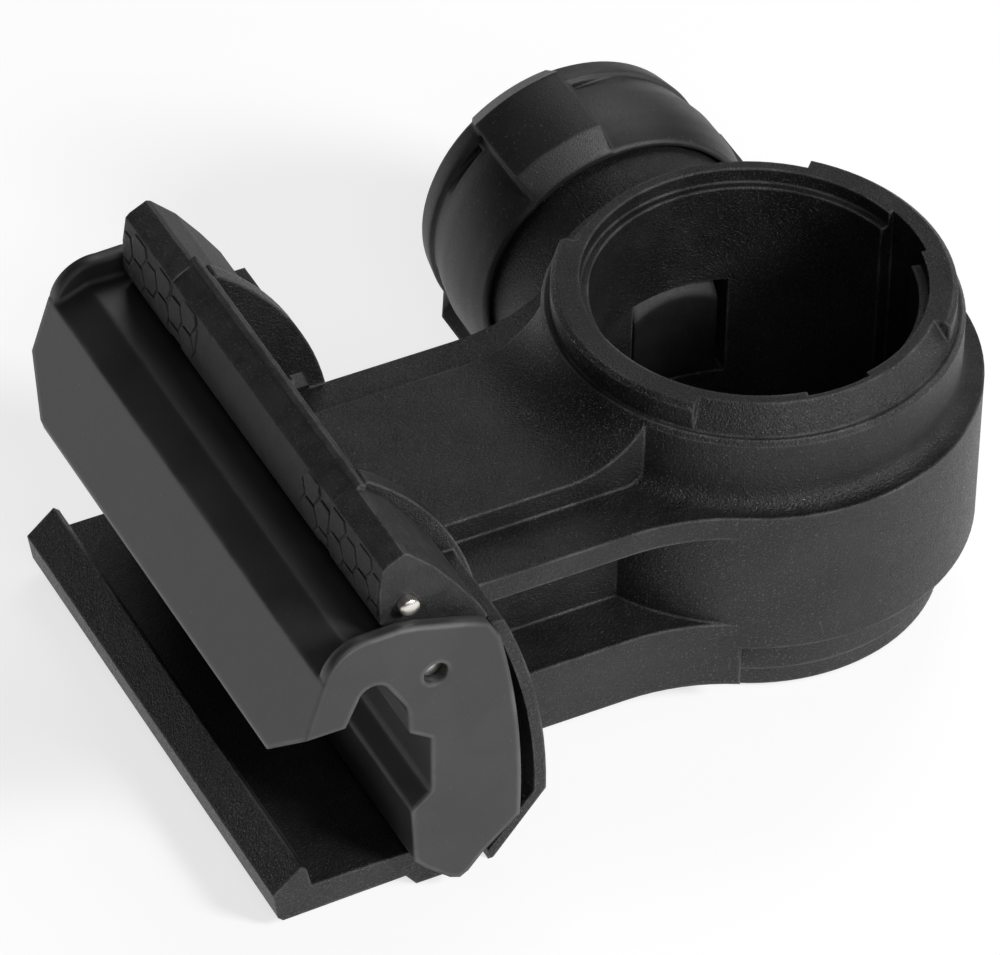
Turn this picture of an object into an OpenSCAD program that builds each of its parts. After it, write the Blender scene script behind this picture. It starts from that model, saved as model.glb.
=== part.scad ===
// Quick-release rod holder clamp: a jaw for a flat rail on one side and a leg barrel on the other.
// Millimetres, +Z up. The origin is on the barrel's axis at its lower end; the jaw points to -X
// and the clamp knob to +Y.

/* [View] */
// Node to show, or all

/* [Leg barrel] */
// Height of the barrel
barrel_h = 40.2; // [40:0.1:40.6]
// Radius of the leg bore
bore_r = 18.25; // [18:0.05:18.5]
// Radius of the widened mouth at each end of the bore
mouth_r = 19.3; // [19.1:0.05:19.4]
// Depth of the widened mouth
mouth_d = 1.9; // [1.5:0.1:2.5]
// Radius of the thick middle band
band_r = 26; // [25.6:0.1:26.4]
// Lowest height of the thick middle band
band_z0 = 9; // [8.6:0.1:9.4]
// Highest height of the thick middle band
band_z1 = 28.2; // [28:0.1:28.4]
// Radius of the necks above and below the band
neck_r = 23.5; // [23.3:0.1:23.7]

/* [Arm] */
// Half width of the arm's box
arm_w = 11.4; // [11.2:0.1:11.8]
// Height of the arm's top face
arm_z = 31.2; // [31:0.1:31.4]
// How far the arm stands to the side of the barrel's axis, away from the knob
arm_shift = 1; // [0:0.1:1.2]
// Half width of the two flanges
flange_w = 18.6; // [18.4:0.1:18.8]
// Radius of the curve where a flange meets the band
flare_r = 26; // [20:1:30]
// Radius of the curve where the arm's top rises to the neck
rise_r = 9; // [7:0.5:10]

/* [Rail clamp] */
// Half length of the lower plate, the shell and the lever
plate_w = 32; // [31:0.5:32.5]
// Half length of the hook jaw
jaw_w = 34.9; // [34.7:0.1:36]
// Wall thickness of the shell behind the jaw
shell_t = 1.4; // [1.3:0.1:1.5]
// Radius of the jaw pin
jaw_pin_r = 1.4; // [1.3:0.05:1.5]
// Radius of the lever pin
lever_pin_r = 1.15; // [1.1:0.05:1.2]

/* [Clamp screw] */
// Height of the screw's axis
screw_z = 18.7; // [18.5:0.1:18.8]
// Thread radius of the screw
screw_r = 5; // [4.9:0.05:5.05]
// Inward travel of the pressure pad
pad_travel = 4; // [3:0.5:4.5]
// Radius of the boss that holds the threaded insert
boss_r = 14.4; // [14:0.1:14.5]

/* [Knob] */
// Radius over the grip lobes
lobe_r = 19.8; // [19.4:0.1:20]
// Radius of the knob's skirt
skirt_r = 17.1; // [17:0.1:17.4]
// Angle of the first grip lobe
lobe_turn = 8; // [0:1:20]

/* [Hidden] */

$fn = 96;
// radial clearance of a running fit, and the gap left where pieces only pass each other
run = 0.05;
slack = 0.3;

body_col = [0.09, 0.09, 0.1];
jaw_col = [0.19, 0.19, 0.2];
knob_col = [0.13, 0.13, 0.14];
steel_col = [0.75, 0.75, 0.77];
brass_col = [0.78, 0.62, 0.3];

mid_z = barrel_h / 2;
ledge_z = 37;
lug_r = 22.5;
fillet_r = 2;
key_deg = 11;
key_r = mouth_r + 0.65;
slope_r = 20.6;

arm_x0 = -50;
arm_z0 = 3.6;
flange_t = 3;
sole_t = 8.9;
lip_x = -51;
lip_t = 1.8;

coil_r = 2.3;
wire_r = 0.35;
coil_y0 = 13.2;
coil_pitch = 0.64;
coil_turns = 6;

jaw_axis = [-56.4, 33.3];
lever_axis = [-58.6, 42];
shell_c = [-109.4, 8];
shell_r = 68;
back_c = [-146, 12];
back_r = 100;

cheek_y0 = 17.5;
lip_y = cheek_y0 + 0.5;
cheek_y1 = 19.7;
cheek_gap = 0.2;
cheek_c = [-76.9, 21.4];
cheek_r = 33.6;
cap_t = 1.5;

pad_back = 24.6;
pad_x = 5.3;
pad_z0 = 11.7;
pad_z1 = 24.7;
channel_end = 25.6;
boss_end = 33;
insert_r = 7.5;
cavity_end = boss_end + pad_travel + 1;
knob_y0 = 31;
knob_y1 = 47.5;
head_y0 = cavity_end + 2.5;
head_y1 = 46.3;
head_r = 17 / 2 / cos(30);
cap_r = 11.45;

// extrudes an outline drawn in X and Z between two stations along Y
module along_y(y0, y1) {
  translate([0, y1, 0]) rotate([90, 0, 0]) linear_extrude(y1 - y0) children();
}

module both_ends() {
  children();
  mirror([0, 1, 0]) children();
}

module both_rims() {
  children();
  translate([0, 0, barrel_h]) mirror([0, 0, 1]) children();
}

module rod_y(r, y0, y1) {
  translate([0, y0, 0]) rotate([-90, 0, 0]) cylinder(r = r, h = y1 - y0);
}

module at_xz(p) {
  translate([p[0], 0, p[1]]) children();
}

// ---- leg barrel ----

module neck() {
  rotate_extrude()
    polygon([[0, mid_z], [neck_r, mid_z], [neck_r, ledge_z - 0.6], [neck_r - 0.4, ledge_z], [0, ledge_z]]);
}

module band() {
  rotate_extrude() {
    translate([0, band_z0]) square([band_r, band_z1 - band_z0]);
    for (side = [[band_z0, -1], [band_z1, 1]])
      translate([0, side[0]]) scale([1, side[1]])
        difference() {
          translate([neck_r - 1, -1]) square([fillet_r + 1, fillet_r + 1]);
          translate([neck_r + fillet_r, fillet_r]) circle(r = fillet_r);
        }
  }
}

// a crown of two raised lugs and two sloped sectors, which a leg collar keys into
module crown() {
  for (a = [-45, 135])
    rotate([0, 0, a]) rotate_extrude(angle = 90)
      polygon([[15, 30], [lug_r, 30], [lug_r, barrel_h - 0.5], [lug_r - 0.6, barrel_h], [15, barrel_h]]);
  for (a = [45, 225])
    rotate([0, 0, a]) rotate_extrude(angle = 90)
      polygon([[15, 30], [lug_r, 30], [lug_r, ledge_z + 0.1], [slope_r, barrel_h], [15, barrel_h]]);
}

module keyway(a) {
  rotate([0, 0, a - key_deg]) rotate_extrude(angle = 2 * key_deg)
    translate([15, -1]) square([key_r - 15, barrel_h + 2]);
}

module bore_cut() {
  translate([0, 0, -1]) cylinder(r = bore_r, h = barrel_h + 2);
  both_rims() translate([0, 0, -1]) cylinder(r = mouth_r, h = mouth_d + 1);
  keyway(0);
  keyway(-90);
}

module boss() {
  at_xz([0, screw_z]) {
    rod_y(boss_r, 15, boss_end - 0.6);
    rod_y(boss_r - 0.6, 15, boss_end);
  }
}

module boss_cut() {
  // the channel leaves the pad more room on one side
  translate([-pad_x - slack, 14, pad_z0 - slack])
    cube([2 * pad_x + 1.4, channel_end - 14, pad_z1 - pad_z0 + 2 * slack]);
  at_xz([0, screw_z]) rod_y(insert_r, channel_end, boss_end + 1);
}

// ---- arm ----

// a flange's edge stands at its own distance from the axis on each side, and flares out onto the band
module flange_plan() {
  touch = band_r / (band_r + flare_r);
  translate([arm_x0, -flange_w - arm_shift]) square([-12 - arm_x0, 2 * flange_w]);
  for (s = [-1, 1]) {
    edge = flange_w - s * arm_shift;
    flare_x = -sqrt(pow(band_r + flare_r, 2) - pow(edge + flare_r, 2));
    difference() {
      polygon([[flare_x, s * 10], [flare_x, s * edge], [flare_x * touch, s * (edge + flare_r) * touch],
        [flare_x * touch, s * 10]]);
      translate([flare_x, s * (edge + flare_r)]) circle(r = flare_r, $fn = 360);
    }
  }
}

module arm() {
  translate([arm_x0, -arm_w - arm_shift, arm_z0]) cube([-14 - arm_x0, 2 * arm_w, arm_z - arm_z0]);
  translate([0, 0, band_z1 - flange_t]) linear_extrude(flange_t) flange_plan();
  translate([0, 0, arm_z0]) linear_extrude(sole_t) flange_plan();
  // the top rises in a curve to the neck's rim
  rise = ledge_z - 0.6 - arm_z;
  rise_x = neck_r + sqrt(pow(rise_r, 2) - pow(rise_r - rise, 2));
  intersection() {
    rotate([0, 0, 120]) rotate_extrude(angle = 120)
      difference() {
        translate([neck_r - 2, arm_z - 1]) square([rise_x - neck_r + 2, rise + 1]);
        translate([rise_x, arm_z + rise_r]) circle(r = rise_r, $fn = 180);
      }
    translate([-40, -arm_w - arm_shift, 30]) cube([40, 2 * arm_w, 10]);
  }
}

// the moulding is cored from below on both sides of a middle rib
module arm_core() {
  for (y = [0.9, -9.3])
    translate([-39.5, y - arm_shift, -1]) cube([9.6, 8.4, arm_z - 1.2]);
}

// ---- shell, plate and cheeks ----

// the plate, foot and shell filled in, and the space in them that the jaw stands in
module shell_outer() {
  intersection() {
    translate(shell_c) circle(r = shell_r, $fn = 360);
    polygon([[-60, 34.9], [-38, 34.9], [-39.3, 10.5], [-47.7, 0], [-57, 0], [-58.3, 1.7], [-73, 1.3],
      [-73.6, 1.9], [-74.2, 5.4], [-70.9, 8.4], [-70.2, 7.8], [-69.6, 5.1], [-60, 5.1]]);
  }
}

module shell_space() {
  intersection() {
    translate(shell_c) circle(r = shell_r - shell_t, $fn = 360);
    polygon([[-61, 36], [-61, 5.1], [-57.9, 5.1], [-54.2, 1.3], [-48.2, 1.3], [-41.3, 9.9], [-41, 36]]);
  }
}

module cheek_outline() {
  intersection() {
    translate(cheek_c) circle(r = cheek_r, $fn = 240);
    union() {
      translate(lever_axis) circle(r = 2.1);
      translate(jaw_axis) circle(r = 3.6);
      polygon([[-57.3, 48.4], [-58.95, 45.2], [-59.9, 43.6], [-58.6, 42], [-58.9, 39.9], [-59, 38],
        [-59.7, 34.8], [-56.4, 30.9], [-42, 30.9], [-42, 50]]);
      difference() {
        translate([-50, 26]) square([8, 6]);
        translate(shell_c) circle(r = shell_r - shell_t / 2, $fn = 360);
      }
    }
  }
}

module lip(top, y0, y1) {
  along_y(y0, y1)
    polygon([[lip_x, top - lip_t], [lip_x, top], [-45, top], [-45, top - lip_t]]);
}

module main_body() {
  color(body_col)
    difference() {
      union() {
        both_rims() neck();
        band();
        crown();
        // the lower crown is turned so that barrels stack lug to slope
        translate([0, 0, barrel_h]) mirror([0, 0, 1]) rotate([0, 0, 90]) crown();
        boss();
        difference() {
          union() {
            arm();
            along_y(-plate_w, plate_w) shell_outer();
          }
          along_y(-plate_w - 1, plate_w + 1) shell_space();
        }
        // the arm's top and its upper flanges run on between the cheeks as lips over the jaw's back
        lip(arm_z, -arm_w - arm_shift, arm_w - arm_shift);
        lip(band_z1, -lip_y, lip_y);
        both_ends() along_y(cheek_y0, cheek_y1) cheek_outline();
      }
      bore_cut();
      boss_cut();
      arm_core();
      // the floor under the jaw's heel is open at both ends
      both_ends() translate([-52.4, plate_w - 4, -1]) cube([4.1, 5, 2.4]);
      at_xz(jaw_axis) rod_y(jaw_pin_r, -25, 25);
      at_xz(lever_axis) rod_y(lever_pin_r, -25, 25);
      // the scoop between the cheeks ends at the arm's top and its flanges
      translate([-51.5, -cheek_y0, arm_z]) cube([11, 2 * cheek_y0, 6]);
      for (s = [-1, 1])
        translate([-51.5, s > 0 ? arm_w - arm_shift : -cheek_y0, band_z1])
          cube([11, cheek_y0 - arm_w + s * arm_shift, 6]);
      both_ends() spring_ends(0.4, cheek_y0 - 1, 18.9);
    }
}

// ---- hook jaw ----

// the outline of the jaw's end caps; low is the top between them
module jaw_outline(low) {
  top = low ? [[-69.5, 36.7], [-65.4, 38.3], [-57, 38.2], [-50.6, 34.6], [-49.4, 32.6]]
    : [[-64.2, 41], [-60.7, 41.1], [-58.4, 40.7], [-52.5, 38.9], [-50.1, 37.9], [-49.2, 36.2]];
  difference() {
    union() {
      intersection() {
        polygon(concat(top, [[-40, 30], [-40, 9], [-46.3, 8.3], [-50.6, 4.4], [-52.2, 2.5], [-53.2, 1.9],
          [-54.4, 2.4], [-57.5, 5.2], [-58.6, 6.5], [-58.8, 9.9], [-59.1, 14.2], [-56.9, 16.1],
          [-56.7, 16.8], [-56.8, 24.1], [-59.4, 25.9], [-59.5, 28.6], [-59.8, 29.8], [-69, 23.2],
          [-73.2, 23.9], [-73.3, 24.6], [-69.5, 36.7]]));
        translate(back_c) circle(r = back_r, $fn = 360);
      }
      if (!low)
        translate([-64.4, 36]) circle(r = 5.05);
    }
    // the throat behind the nose
    translate([-63.7, 32.6]) circle(r = 1.9);
    polygon([[-65.5, 33.2], [-67.1, 29.6], [-68.9, 22], [-60, 20], [-59.5, 28.6], [-59.8, 29.8],
      [-62.1, 33.6], [-63.7, 32.6]]);
  }
}

module jaw_slot_outline() {
  translate(jaw_axis) circle(r = 4);
  polygon([[-59.7, 35], [-59.7, 42], [-40, 42], [-40, 28.6], [-56.4, 29.3]]);
}

module hook_jaw() {
  color(jaw_col)
    difference() {
      union() {
        along_y(-jaw_w, jaw_w) jaw_outline(true);
        both_ends() along_y(jaw_w - cap_t, jaw_w) jaw_outline(false);
      }
      at_xz(jaw_axis) rod_y(jaw_pin_r + run, -jaw_w - 1, jaw_w + 1);
      both_ends() {
        along_y(cheek_y0 - slack, cheek_y1 + slack) jaw_slot_outline();
        at_xz(jaw_axis) rod_y(3.4, 12.7, cheek_y0);
        spring_ends(0.4, 11.4, 13);
        // room for the lips between the cheeks
        translate([lip_x - 1, -1, band_z1 - lip_t - 1.4]) cube([12, lip_y + slack + 1, 20]);
        // the nose's lower corner
        translate([-80, 0, 0]) rotate([90, 0, 90]) linear_extrude(14.2)
          polygon([[jaw_w + 1, 30.7], [27.7, 23.1], [27.7, 20], [jaw_w + 1, 20]]);
      }
    }
}

// ---- lever ----

function lever_under() = [[-48.9, 36.3], [-49.5, 35.7], [-56.9, 38.9], [-58.6, 38.7], [-60.6, 39]];

module lever_end_outline() {
  polygon(concat([[-61.6, 40], [-61.7, 44.3], [-61.3, 47.4], [-60.8, 47.9], [-58.8, 48.9], [-58.3, 48.7],
    [-55.3, 45.8], [-52.4, 42], [-49.9, 38.3]], lever_under()));
}

module lever_front_outline() {
  polygon([[-61.6, 40], [-61.7, 42.6], [-60.5, 45.8], [-58.8, 49.1], [-58.2, 49.3], [-57.6, 48.9],
    [-59.3, 45.3], [-58.4, 44.4], [-55.4, 42.6], [-55, 40], [-56.2, 38.9], [-58.6, 38.7], [-60.6, 39]]);
}

module lever_skin_outline() {
  difference() {
    polygon([[-61.6, 40.4], [-61.7, 42.6], [-60.5, 45.8], [-58.8, 49.1], [-58.2, 49.3], [-57.7, 48.9],
      [-59.5, 45.2], [-60.6, 43.4], [-60.8, 40.4]]);
    translate(lever_axis) circle(r = 2.35);
  }
}

module lever() {
  color(body_col)
    difference() {
      union() {
        both_ends() along_y(cheek_y1 + cheek_gap, plate_w) lever_end_outline();
        along_y(-cheek_y0 + cheek_gap, cheek_y0 - cheek_gap) lever_front_outline();
        along_y(-cheek_y1 - 1, cheek_y1 + 1) lever_skin_outline();
      }
      at_xz(lever_axis) rod_y(lever_pin_r + run, -plate_w - 1, plate_w + 1);
    }
}

// ---- pins and springs ----

module pin(r, half) {
  rod_y(r, -half + 0.3, half - 0.3);
  rod_y(r - 0.3, -half, half);
}

module jaw_pin() {
  color(steel_col) at_xz(jaw_axis) pin(jaw_pin_r, 33.6);
}

module lever_pin() {
  color(steel_col) at_xz(lever_axis) pin(lever_pin_r, 33.2);
}

module spring_ends(r, y0, y1) {
  at_xz(jaw_axis + [0, -coil_r]) rod_y(r, y0, y1);
}

module jaw_springs() {
  color(steel_col)
    both_ends() {
      at_xz(jaw_axis) translate([0, coil_y0, 0]) rotate([-90, 0, 0]) rotate_extrude()
        for (i = [0:coil_turns - 1])
          translate([coil_r, wire_r + coil_pitch * i]) circle(r = wire_r, $fn = 32);
      spring_ends(wire_r, 11.6, 18.7);
    }
}

// ---- clamp screw and pad ----

module thread_insert() {
  color(brass_col) at_xz([0, screw_z])
    difference() {
      rod_y(insert_r, channel_end, boss_end);
      rod_y(screw_r, channel_end - 1, boss_end + 1);
      // a knurl groove that the moulding locks into
      translate([0, 28.7, 0]) rotate([-90, 0, 0]) rotate_extrude()
        translate([insert_r - 0.6, 0]) square([1, 1.4]);
    }
}

module clamp_screw() {
  color(steel_col) at_xz([0, screw_z]) {
    rod_y(screw_r - run, pad_back + 0.3, head_y0);
    rod_y(2.4, 21.4, pad_back + 1);
    rod_y(3.4, 21.4, 22.3);
    rod_y(3.4, 23.5, pad_back);
    rotate([-90, 0, 0]) translate([0, 0, head_y0]) cylinder(r = head_r, h = head_y1 - head_y0, $fn = 6);
  }
}

module pressure_pad() {
  color(body_col)
    difference() {
      translate([-pad_x, 16, pad_z0]) cube([2 * pad_x, pad_back - 16, pad_z1 - pad_z0]);
      translate([0, 0, -1]) cylinder(r = bore_r, h = barrel_h + 2);
      // the upper edge is sloped so that a leg lifts over it
      translate([-pad_x - 1, 0, 0]) rotate([90, 0, 90]) linear_extrude(2 * pad_x + 2)
        polygon([[15, 22], [17.2, 22], [19.4, 25], [15, 25]]);
      at_xz([0, screw_z]) rod_y(3.6, 20.6, pad_back + 1);
      translate([-4.2, 22.35, pad_z0 - 1]) cube([8.4, 1.1, 12.2]);
    }
}

module pad_clip() {
  color(steel_col)
    difference() {
      translate([-4.1, 22.4, pad_z0]) cube([8.2, 1, 11]);
      at_xz([0, screw_z]) rod_y(2.6, 20, 26);
      translate([-2.6, 20, screw_z]) cube([5.2, 6, 6]);
    }
}

module thrust_disc() {
  color(steel_col) at_xz([0, screw_z]) rod_y(3.5, 20.6, 21.35);
}

// ---- knob ----

module knob() {
  // the waist's curve in section, and where the slots beside a lobe start and how far they run
  scoop_r = 22.3;
  slot_from = 23.5;
  slot_deg = 19.5;
  color(knob_col) at_xz([0, screw_z]) rotate([-90, 0, 0])
    difference() {
      union() {
        rotate_extrude()
          difference() {
            union() {
              polygon([[0, knob_y0], [skirt_r - 1, knob_y0], [skirt_r, knob_y0 + 3], [skirt_r, 44.5],
                [0, 44.5]]);
              polygon([[0, 44], [17.6, 44], [18, 44.4], [18, 46.9], [17.4, knob_y1], [0, knob_y1]]);
            }
            intersection() {
              translate([16.6 + scoop_r, 40]) circle(r = scoop_r, $fn = 240);
              translate([15, 35]) square([5, 9]);
            }
          }
        for (i = [0:2])
          rotate([0, 0, lobe_turn + 120 * i])
            intersection() {
              rotate_extrude()
                polygon([[15.2, knob_y0], [17.4, knob_y0], [lobe_r, 33.4], [lobe_r, 43.8], [17.6, 47.2],
                  [15.2, 47.2]]);
              translate([0, 0, 30]) linear_extrude(18)
                polygon([[13.2, -6.3], [17.2, -6.3], [20.4, -5.3], [20.4, 5.3], [17.2, 6.3], [13.2, 6.3]]);
            }
      }
      // slots beside the lobes, in front of the rear flange
      for (i = [0:2], a = [-slot_from - slot_deg, slot_from])
        rotate([0, 0, lobe_turn + 120 * i + a]) rotate_extrude(angle = slot_deg)
          translate([15.9, 42.6]) square([3, 1.3]);
      translate([0, 0, knob_y0 - 1]) cylinder(r = boss_r + 0.5, h = cavity_end - knob_y0 + 1);
      cylinder(r = screw_r + 0.2, h = 45);
      translate([0, 0, head_y0]) cylinder(r = head_r + 0.1, h = 10, $fn = 6);
      translate([0, 0, head_y1]) cylinder(r = cap_r + run, h = 5);
    }
}

module knob_cap() {
  color(body_col) at_xz([0, screw_z]) {
    rod_y(cap_r, head_y1, knob_y1 - 0.3);
    rod_y(cap_r - 0.35, head_y1, knob_y1);
  }
}

main_body();
hook_jaw();
lever();
jaw_pin();
lever_pin();
jaw_springs();
thread_insert();
clamp_screw();
pressure_pad();
pad_clip();
thrust_disc();
knob();
knob_cap();
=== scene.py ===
import math
import bmesh
import bpy
from mathutils import Matrix, Vector


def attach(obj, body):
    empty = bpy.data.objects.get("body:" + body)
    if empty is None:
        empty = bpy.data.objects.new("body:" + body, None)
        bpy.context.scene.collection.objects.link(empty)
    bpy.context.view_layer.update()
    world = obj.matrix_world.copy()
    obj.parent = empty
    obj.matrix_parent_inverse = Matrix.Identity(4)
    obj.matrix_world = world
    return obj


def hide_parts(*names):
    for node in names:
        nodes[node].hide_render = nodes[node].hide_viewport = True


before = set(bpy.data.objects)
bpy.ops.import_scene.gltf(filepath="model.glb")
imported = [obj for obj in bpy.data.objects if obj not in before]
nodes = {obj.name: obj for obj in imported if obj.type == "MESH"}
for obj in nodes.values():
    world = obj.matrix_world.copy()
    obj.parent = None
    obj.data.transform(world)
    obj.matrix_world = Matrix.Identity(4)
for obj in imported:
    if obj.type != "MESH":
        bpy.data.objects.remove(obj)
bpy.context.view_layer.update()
print("frame loaded:", len(nodes), "nodes")

mm = 0.001


# camera and light

cameraView = {
    "place": (-0.339718, -0.591948, 0.618366),
    "right": (0.89269, -0.45042, 0.01492),
    "up": (0.28987, 0.59922, 0.74626),
    "lens": 292.23, "sensor": 36, "near": 0.05, "far": 20,
}


def makeCamera(view):
    data = bpy.data.cameras.new("camera")
    data.lens = view["lens"]
    data.sensor_width = view["sensor"]
    data.clip_start, data.clip_end = view["near"], view["far"]
    camera = bpy.data.objects.new("camera", data)
    bpy.context.scene.collection.objects.link(camera)
    right, up = Vector(view["right"]).normalized(), Vector(view["up"]).normalized()
    turn = Matrix((right, up, right.cross(up))).transposed().to_4x4()
    camera.matrix_world = Matrix.Translation(view["place"]) @ turn
    bpy.context.scene.camera = camera


studio = {
    "world": (0.95, 0.96, 1.0),
    "worldPower": 0.05,
    "lamps": [  # place, aim, width, height, watts
        ((0.44, -0.72, 0.60), (0, 0, 0.02), 0.26, 0.26, 8.5),
        ((-0.2, -0.75, 0.75), (0, 0, 0.02), 0.4, 0.4, 1.6),
        ((0.52, 0.74, 0.84), (0, 0, 0.02), 0.8, 0.8, 4.1),
    ],
}


def makeLights(look):
    scene = bpy.context.scene
    scene.view_settings.view_transform = "Standard"
    world = bpy.data.worlds.new("studio")
    world.use_nodes = True
    scene.world = world
    back = world.node_tree.nodes["Background"]
    back.inputs["Color"].default_value = (*look["world"], 1)
    back.inputs["Strength"].default_value = look["worldPower"]
    for number, (place, aim, width, height, watts) in enumerate(look["lamps"]):
        data = bpy.data.lights.new("softbox%d" % number, "AREA")
        data.shape = "RECTANGLE"
        data.size, data.size_y, data.energy = width, height, watts
        lamp = bpy.data.objects.new("softbox%d" % number, data)
        scene.collection.objects.link(lamp)
        lamp.location = place
        aimed = Vector(aim) - Vector(place)
        lamp.rotation_euler = aimed.to_track_quat("-Z", "Y").to_euler()


makeCamera(cameraView)
makeLights(studio)


# shader maths: a wire is one socket of a node tree

class Wire:
    def __init__(self, tree, socket=None):
        self.tree, self.socket = tree, socket

    def make(self, kind, settings=None, sockets=None, out=0):
        node = self.tree.nodes.new("ShaderNode" + kind)
        for name, value in (settings or {}).items():
            setattr(node, name, value)
        for name, value in (sockets or {}).items():
            if isinstance(value, Wire):
                self.tree.links.new(value.socket, node.inputs[name])
            else:
                node.inputs[name].default_value = value
        return Wire(self.tree, node.outputs[out])

    def maths(self, operation, first, second=0.0):
        return self.make("Math", {"operation": operation}, {0: first, 1: second})

    def __add__(self, other):
        return self.maths("ADD", self, other)

    __radd__ = __add__

    def __mul__(self, other):
        return self.maths("MULTIPLY", self, other)

    __rmul__ = __mul__

    def __sub__(self, other):
        return self.maths("SUBTRACT", self, other)

    def __rsub__(self, other):
        return self.maths("SUBTRACT", other, self)

    def smooth(self, low, high):
        return self.make("MapRange", {"interpolation_type": "SMOOTHSTEP"},
                         {"Value": self, "From Min": low, "From Max": high})

    def noise(self, scale, detail=2.0, rough=0.5):
        return self.make("TexNoise", None, {"Vector": self, "Scale": scale, "Detail": detail,
                                            "Roughness": rough})

    def stretch(self, scale):
        return self.make("Mapping", None, {"Vector": self, "Scale": scale})

    def blend(self, low, high):
        colours = [value if isinstance(value, Wire) else (*value, 1) for value in (low, high)]
        return self.make("Mix", {"data_type": "RGBA"}, {0: self, 6: colours[0], 7: colours[1]}, 2)


def newMaterial(name):
    material = bpy.data.materials.new(name)
    material.use_nodes = True
    tree = material.node_tree
    shader = tree.nodes["Principled BSDF"]
    place = Wire(tree).make("TexCoord", out="Object")
    return material, shader, place


def plug(wire, shader, name):
    wire.tree.links.new(wire.socket, shader.inputs[name])


plasticShare = {  # what all the mouldings have in common
    "speckStep": 0.09, "edgeFrom": 0.004, "edgeTo": 0.07,
    "wearAndHighlightLeast": 0.25, "wearAndHighlightFrom": 0.35, "wearAndHighlightTo": 0.7, "toneFrom": 0.3, "toneTo": 0.7,
    "cloudRough": 0.12, "speckRise": 0.8, "swell": 0.6, "samples": 6,
}


def mouldedPlastic(name, look):
    material, shader, place = newMaterial(name)
    cloud = place.noise(look["cloud"], 3, 0.6)
    grain = place.noise(look["grain"], 2, 0.7)
    share = plasticShare
    speckFrom = look["speckFrom"]
    speck = place.noise(look["speck"], 1, 0.5).smooth(speckFrom, speckFrom + share["speckStep"])
    rounded = place.make("Bevel", {"samples": share["samples"]}, {"Radius": look["round"]})
    flat = place.make("NewGeometry", out="Normal")
    facing = place.make("VectorMath", {"operation": "DOT_PRODUCT"}, {0: rounded, 1: flat}, "Value")
    edge = (1 - facing).smooth(share["edgeFrom"], share["edgeTo"])
    # lighter tone along the edges: partly real rubbed wear, partly a painted highlight along the rounded
    # edges
    wearAndEdgeHighlight = edge * (share["wearAndHighlightLeast"] + cloud.smooth(share["wearAndHighlightFrom"], share["wearAndHighlightTo"]))
    tone = cloud.smooth(share["toneFrom"], share["toneTo"]).blend(look["dark"], look["light"])
    tone = (speck * look["speckShare"]).blend(tone, look["speckTone"])
    # the edge tone is blended into the base colour: real wear plus a painted edge highlight
    tone = (wearAndEdgeHighlight * look["wearAndHighlight"]).blend(tone, look["wearAndHighlightTone"])
    plug(tone, shader, "Base Color")
    plug(speck * look["glint"], shader, "Metallic")
    rough = look["rough"] + (grain - 0.5) * look["roughSpread"] + (cloud - 0.5) * share["cloudRough"]
    plug(rough, shader, "Roughness")
    height = grain + speck * share["speckRise"] + place.noise(look["cloud"] * 3, 2) * share["swell"]
    bump = place.make("Bump", None, {"Height": height, "Normal": rounded, "Strength": look["bump"],
                                     "Distance": look["relief"]})
    plug(bump, shader, "Normal")
    shader.inputs["IOR"].default_value = look["ior"]
    return material


bodyPlastic = mouldedPlastic("blackGlassFilledNylon", {
    "dark": (0.0075, 0.0075, 0.0078), "light": (0.016, 0.016, 0.0165),
    "cloud": 160, "grain": 3700, "speck": 4700, "speckFrom": 0.60, "speckShare": 1.0, "glint": 1.0,
    "speckTone": (0.13, 0.13, 0.13), "rough": 0.43, "roughSpread": 0.7, "bump": 0.9,
    "relief": 0.00022, "round": 0.0005, "wearAndHighlight": 0.75, "wearAndHighlightTone": (0.13, 0.13, 0.133), "ior": 1.46,
})
# the jaw's strong edge tone paints a light line round its rims: partly wear, partly a painted highlight of
# the rims' chamfer
jawPlastic = mouldedPlastic("greyNylon", {
    "dark": (0.026, 0.026, 0.0275), "light": (0.036, 0.036, 0.0375),
    "cloud": 110, "grain": 5200, "speck": 2300, "speckFrom": 0.72, "speckShare": 0.25,
    "speckTone": (0.13, 0.13, 0.13), "rough": 0.42, "roughSpread": 0.2, "bump": 0.3,
    "relief": 0.00006, "glint": 0.0, "round": 0.001, "wearAndHighlight": 1.3,
    "wearAndHighlightTone": (0.12, 0.12, 0.122), "ior": 1.48,
})
leverPlastic = mouldedPlastic("mattBlackNylon", {
    "dark": (0.012, 0.012, 0.0125), "light": (0.026, 0.026, 0.027),
    "cloud": 420, "grain": 3600, "speck": 3800, "speckFrom": 0.64, "speckShare": 0.4,
    "speckTone": (0.10, 0.10, 0.10), "rough": 0.6, "roughSpread": 0.3, "bump": 0.8,
    "relief": 0.00012, "glint": 0.0, "round": 0.0004, "wearAndHighlight": 0.6,
    "wearAndHighlightTone": (0.12, 0.12, 0.122), "ior": 1.48,
})
knobPlastic = mouldedPlastic("satinBlackNylon", {
    "dark": (0.009, 0.009, 0.0095), "light": (0.014, 0.014, 0.0147),
    "cloud": 140, "grain": 4600, "speck": 2800, "speckFrom": 0.66, "speckShare": 0.35,
    "speckTone": (0.08, 0.08, 0.08), "rough": 0.48, "roughSpread": 0.25, "bump": 0.5,
    "relief": 0.00008, "glint": 0.0, "round": 0.0006, "wearAndHighlight": 0.45,
    "wearAndHighlightTone": (0.08, 0.08, 0.082), "ior": 1.5,
})
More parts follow.
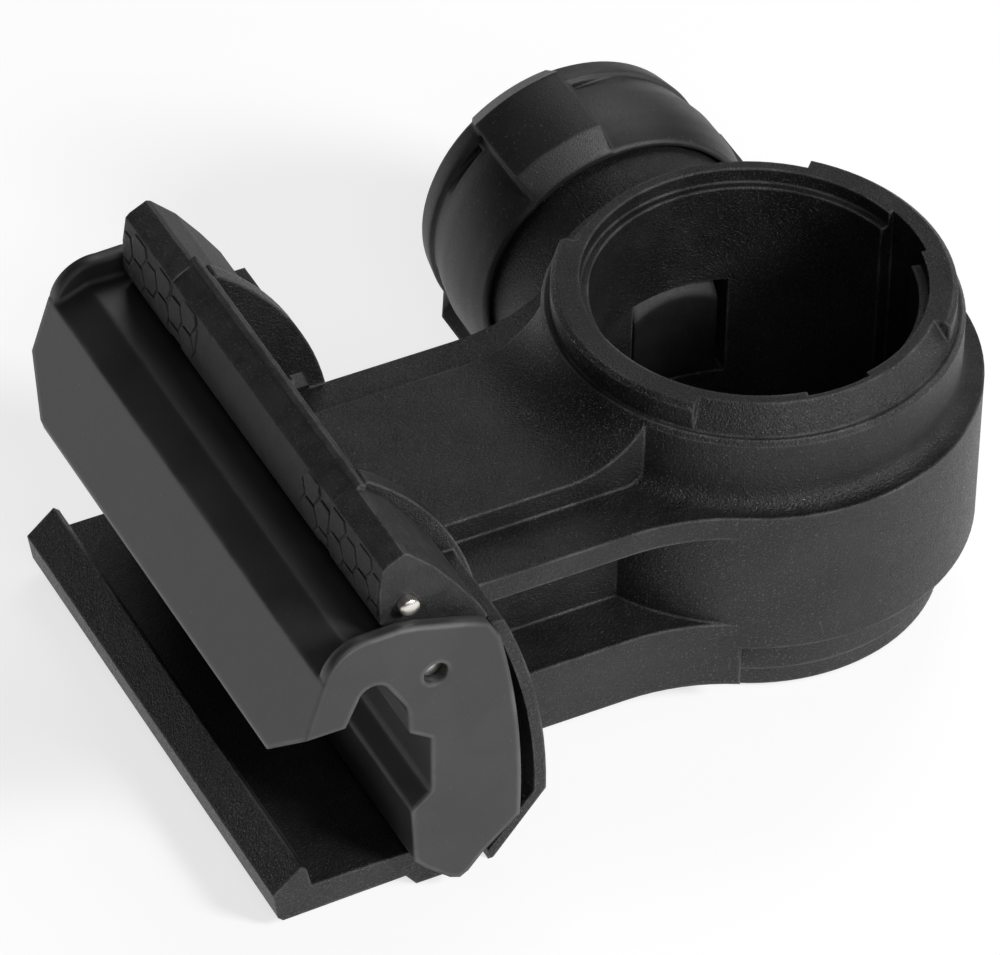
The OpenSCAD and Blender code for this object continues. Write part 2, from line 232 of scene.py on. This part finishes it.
padPlastic = mouldedPlastic("padNylon", {
    "dark": (0.004, 0.004, 0.0043), "light": (0.008, 0.008, 0.0085),
    "cloud": 200, "grain": 3600, "speck": 2600, "speckFrom": 0.7, "speckShare": 0.3,
    "speckTone": (0.04, 0.04, 0.04), "rough": 0.6, "roughSpread": 0.2, "bump": 0.25,
    "relief": 0.00008, "glint": 0.0, "round": 0.0012, "wearAndHighlight": 0.1,
    "wearAndHighlightTone": (0.04, 0.04, 0.042), "ior": 1.48,
})

metalShare = {  # what all the metals have in common
    "stainFrom": 0.5, "stainTo": 0.75, "streakRough": 0.25, "stainRough": 0.15,
    "bump": 0.2, "relief": 0.00003,
}


def turnedMetal(name, look):
    material, shader, place = newMaterial(name)
    share = metalShare
    streak = place.stretch(look["streak"]).noise(look["grain"], 3, 0.6)
    stain = place.noise(look["stain"], 3, 0.6).smooth(share["stainFrom"], share["stainTo"])
    plug((stain * look["stainShare"]).blend(look["tone"], look["stainTone"]), shader, "Base Color")
    rough = look["rough"] + (streak - 0.5) * share["streakRough"] + stain * share["stainRough"]
    plug(rough, shader, "Roughness")
    bump = place.make("Bump", None, {"Height": streak, "Strength": share["bump"],
                                     "Distance": share["relief"]})
    plug(bump, shader, "Normal")
    shader.inputs["Metallic"].default_value = 1.0
    return material


pinSteel = turnedMetal("stainlessPin", {"tone": (0.80, 0.76, 0.71), "stainTone": (0.40, 0.35, 0.30),
                                        "stain": 500, "stainShare": 0.25, "rough": 0.34,
                                        "grain": 1200, "streak": (1, 0.1, 1)})
springSteel = turnedMetal("springWire", {"tone": (0.52, 0.52, 0.53), "stainTone": (0.25, 0.23, 0.2),
                                         "stain": 700, "stainShare": 0.4, "rough": 0.3,
                                         "grain": 2500, "streak": (1, 1, 1)})
screwSteel = turnedMetal("zincPlatedScrew", {"tone": (0.62, 0.62, 0.63), "stainTone": (0.36, 0.34, 0.31),
                                             "stain": 400, "stainShare": 0.4, "rough": 0.3,
                                             "grain": 1200, "streak": (1, 0.2, 1)})
insertBrass = turnedMetal("insertBrass", {"tone": (0.78, 0.58, 0.28), "stainTone": (0.45, 0.30, 0.13),
                                          "stain": 350, "stainShare": 0.5, "rough": 0.3,
                                          "grain": 1200, "streak": (1, 0.2, 1)})

finishOf = {
    "main_body": bodyPlastic, "hook_jaw": jawPlastic, "lever": leverPlastic, "jaw_pin": pinSteel,
    "lever_pin": pinSteel, "jaw_springs": springSteel, "thread_insert": insertBrass,
    "clamp_screw": screwSteel, "pressure_pad": padPlastic, "pad_clip": springSteel,
    "thrust_disc": screwSteel, "knob": knobPlastic, "knob_cap": bodyPlastic,
}
for name, material in finishOf.items():
    slots = nodes[name].data.materials
    for index in range(len(slots)):
        slots[index] = material
print("finishes on", len(finishOf), "nodes")


# shapes in the x-z plane, carried along y, in millimetres

def finish(shape, name, material, body, sharp=26):
    bmesh.ops.recalc_face_normals(shape, faces=shape.faces)
    mesh = bpy.data.meshes.new(name)
    shape.to_mesh(mesh)
    shape.free()
    piece = bpy.data.objects.new(name, mesh)
    bpy.context.scene.collection.objects.link(piece)
    mesh.materials.append(material)
    mesh.polygons.foreach_set("use_smooth", [True] * len(mesh.polygons))
    mesh.set_sharp_from_angle(angle=math.radians(sharp))
    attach(piece, body)
    return piece


def prism(shape, loop, near, far):
    rows = [[shape.verts.new((x * mm, y * mm, z * mm)) for x, z in loop] for y in (near, far)]
    shape.faces.new(rows[0])
    shape.faces.new(rows[1])
    for index in range(len(loop)):
        after = (index + 1) % len(loop)
        shape.faces.new((rows[0][index], rows[0][after], rows[1][after], rows[1][index]))


def along(table, place):
    for (low, first), (high, second) in zip(table, table[1:]):
        if place <= high:
            break
    share = (place - low) / (high - low)
    return first + (second - first) * min(1, share)


# lever: the face between the cheeks, and the honeycomb at both ends

leverFace = {
    "loop": [(-61.6, 40.5), (-61.74, 43.4), (-61.24, 47.2), (-60.95, 47.55), (-58.5, 49.2),
             (-58.3, 49.15), (-60.1, 45.6), (-61.1, 42.6), (-61.1, 40.8)],
    "half": 19.85,
}


def makeLeverFace(look):
    shape = bmesh.new()
    prism(shape, look["loop"], -look["half"], look["half"])
    piece = finish(shape, "leverFace", leverPlastic, "lever")


honeycomb = {
    "cell": 2.1, "gap": 0.42, "lift": 0.2, "sink": 0.12, "low": 41.0, "high": 47.1, "least": 1.2,
    "rows": 8, "places": 5, "drop": 0.4,
    "spans": [(13.2, 19.7), (20.1, 31.6)], "start": 12.2,
    "front": [(40.0, -61.6), (43.6, -61.73), (47.4, -61.25)],
}


def clip(loop, axis, limit, side):
    kept = []
    for first, second in zip(loop, loop[1:] + loop[:1]):
        inside = (first[axis] - limit) * side >= 0
        if inside:
            kept.append(first)
        if inside != ((second[axis] - limit) * side >= 0):
            share = (limit - first[axis]) / (second[axis] - first[axis])
            kept.append(tuple(a + (b - a) * share for a, b in zip(first, second)))
    return kept


def makeHoneycomb(look):
    shape = bmesh.new()
    step = look["cell"] * math.sqrt(3)
    size = look["cell"] - look["gap"] / math.sqrt(3)
    turns = [math.radians(60 * k) for k in range(6)]
    for side in (-1, 1):
        for row in range(look["rows"]):
            for place in range(look["places"]):
                y = look["start"] + row * look["cell"] * 1.5
                z = look["low"] - look["drop"] + (place + 0.5 * (row % 2)) * step
                ring = [(y + size * math.cos(turn), z + size * math.sin(turn)) for turn in turns]
                for near, far in look["spans"]:
                    cut = clip(clip(ring, 0, near, 1), 0, far, -1)
                    cut = clip(clip(cut, 1, look["low"], 1), 1, look["high"], -1) if len(cut) > 2 else []
                    heights = [b for _, b in cut]
                    if len(cut) < 3 or max(heights) - min(heights) < look["least"]:
                        continue
                    corners = [(along(look["front"], b), side * a, b) for a, b in cut]
                    rows = [[shape.verts.new(((x + depth) * mm, y * mm, z * mm)) for x, y, z in corners]
                            for depth in (-look["lift"], look["sink"])]
                    shape.faces.new(rows[0])
                    for k in range(len(cut)):
                        after = (k + 1) % len(cut)
                        shape.faces.new((rows[0][k], rows[0][after], rows[1][after], rows[1][k]))
    piece = finish(shape, "leverHoneycomb", leverPlastic, "lever")


makeLeverFace(leverFace)
makeHoneycomb(honeycomb)
print("lever's face and honeycomb made")


# knob: a skirt with a rear flange, three grip lobes and a slot beside each lobe

knobGrip = {  # angles are measured from a lobe's middle, in degrees
    "centre": (0, 18.7), "turn": 8, "top": 16.6,
    "skirt": [(31.0, 17.15), (31.3, 17.45), (33.0, 17.95), (35.5, 18.35), (39.5, 18.3), (43.85, 17.45),
              (44.0, 17.45), (44.12, 17.8), (44.5, 17.85), (46.9, 17.4), (47.5, 16.9)],
    "lobe": [(31.0, 17.4), (33.4, 19.95), (43.8, 19.95), (47.2, 17.6), (47.5, 17.1)],
    "stations": [31.0, 31.3, 32.2, 33.0, 33.4, 34.5, 35.5, 37.5, 39.5, 41.0, 42.3, 42.4, 43.75, 43.85, 44.0,
                 44.12, 44.5, 45.8, 46.9, 47.2, 47.5],
    "slot": {"from": 21, "to": 43, "low": 42.4, "high": 43.8, "radius": 16.4},
    "lobes": 3, "offsets": [0, 3, 6, 9, 12, 16.6, 18.0, 21, 21.3, 24, 27, 30, 33, 36, 39.5, 42.7, 43, 46,
                            49, 52, 54, 57],
    "inside": [(38.2, 0), (38.2, 16.7), (31.0, 16.7)],
    "behind": [(47.5, 11.5), (46.25, 11.5), (46.25, 0)],
}


def spin(shape, outline, centre, steps, ring=False):
    corners = [shape.verts.new(((centre[0] + r) * mm, y * mm, centre[1] * mm)) for y, r in outline]
    ends = corners[1:] + corners[:1] if ring else corners[1:]
    edges = [shape.edges.new(pair) for pair in zip(corners, ends)]
    bmesh.ops.spin(shape, geom=corners + edges, cent=(centre[0] * mm, 0, centre[1] * mm), axis=(0, 1, 0),
                   angle=math.tau, steps=steps, use_merge=True)
    bmesh.ops.remove_doubles(shape, verts=shape.verts, dist=0.001 * mm)


def turnedShape(rings, angles, centre):
    shape = bmesh.new()
    rows = []
    for y, radii in rings:
        if not radii:  # a point on the axis closes the shape
            rows.append([shape.verts.new((centre[0] * mm, y * mm, centre[1] * mm))] * len(angles))
            continue
        rows.append([shape.verts.new(((centre[0] + r * math.cos(a)) * mm, y * mm,
                                      (centre[1] - r * math.sin(a)) * mm)) for r, a in zip(radii, angles)])
    for first, second in zip(rows, rows[1:]):
        for k in range(len(angles)):
            after = (k + 1) % len(angles)
            corners = dict.fromkeys((first[k], first[after], second[after], second[k]))
            shape.faces.new(list(corners))
    return shape


def makeKnobGrip(look):
    slot, columns = look["slot"], []
    sector = 360 / look["lobes"]
    for lobe in range(look["lobes"]):
        middle = sector * lobe
        columns += [(middle + side * a, a) for a in look["offsets"] for side in (-1, 1) if a or side > 0]
        columns += [(middle + sector / 2, sector / 2)]
    columns.sort()
    angles = [math.radians(look["turn"] + a) for a, _ in columns]

    def radius(y, away):
        skirt = along(look["skirt"], y)
        if away <= look["top"]:
            return max(skirt, along(look["lobe"], y))
        if slot["from"] < away < slot["to"] and slot["low"] <= y <= slot["high"]:
            return along([(slot["from"], slot["radius"]), (slot["to"], skirt)], away)
        return skirt

    rings = [(y, [r] * len(angles) if r else None) for y, r in look["inside"]]
    rings += [(y, [radius(y, away) for _, away in columns]) for y in look["stations"]]
    rings += [(y, [r] * len(angles) if r else None) for y, r in look["behind"]]
    piece = finish(turnedShape(rings, angles, look["centre"]), "knobGrip", knobPlastic, "knob_set")
    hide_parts("knob")


# boss: the moulding round the screw's insert reaches nearly to the knob's skirt

bossSleeve = {
    "centre": (0, 18.7), "columns": 96,
    "loop": [(19.2, 14.0), (19.2, 16.2), (32.6, 16.2), (33.0, 15.8), (33.0, 14.0)],
}


def makeBossSleeve(look):
    shape = bmesh.new()
    spin(shape, look["loop"], look["centre"], look["columns"], True)
    piece = finish(shape, "bossSleeve", bodyPlastic, "frame")


# pins: domed ends

pinDomes = {
    "ends": [((-58.6, 42), 1.15, 32.95, 0.45), ((-56.4, 33.3), 1.4, 33.35, 0.4)],
    "columns": 32, "steps": 6, "root": 0.3, "inset": 0.02,
}


def makePinDomes(look):
    shape = bmesh.new()
    turns = [math.pi / 2 * k / look["steps"] for k in range(look["steps"] + 1)]
    for centre, radius, start, rise in look["ends"]:
        root = start - look["root"]
        outline = [(root, 0), (root, radius - look["inset"])]
        outline += [(start + rise * math.sin(turn), radius * math.cos(turn)) for turn in turns]
        for side in (-1, 1):
            spin(shape, [(side * y, r) for y, r in outline], centre, look["columns"])
    piece = finish(shape, "pinDomes", pinSteel, "frame")


makePinDomes(pinDomes)
makeKnobGrip(knobGrip)
makeBossSleeve(bossSleeve)
print("knob and boss made")


# floor

floorLook = {"half": 2.5, "tone": (0.38, 0.38, 0.38), "drop": 0.00002, "glow": 0.72, "paintedShadowRadius": 0.019,
             "cloud": 6, "spread": 1.01, "rough": 0.9, "gloss": 0.2}


def makeFloor(look):
    shape = bmesh.new()
    bmesh.ops.create_grid(shape, x_segments=1, y_segments=1, size=look["half"])
    bmesh.ops.translate(shape, verts=shape.verts, vec=(0, 0, -look["drop"]))
    mesh = bpy.data.meshes.new("floor")
    shape.to_mesh(mesh)
    shape.free()
    floor = bpy.data.objects.new("floor", mesh)
    bpy.context.scene.collection.objects.link(floor)
    material, shader, place = newMaterial("palePaper")
    pale = [part * look["spread"] for part in look["tone"]]
    tone = place.noise(look["cloud"], 2).blend(look["tone"], pale)
    plug(tone, shader, "Base Color")
    shader.inputs["Roughness"].default_value = look["rough"]
    shader.inputs["Specular IOR Level"].default_value = look["gloss"]
    far = place.make("VectorMath", {"operation": "LENGTH"}, {0: place}, "Value")
    glowOutsidePaintedShadow = far.smooth(look["paintedShadowRadius"], look["paintedShadowRadius"] * 1.2)  # painted shadow: the floor's glow is cut off inside the barrel's foot
    plug(glowOutsidePaintedShadow.blend((0, 0, 0), (1, 1, 1)), shader, "Emission Color")
    shader.inputs["Emission Strength"].default_value = look["glow"]
    mesh.materials.append(material)


makeFloor(floorLook)
print("floor laid")
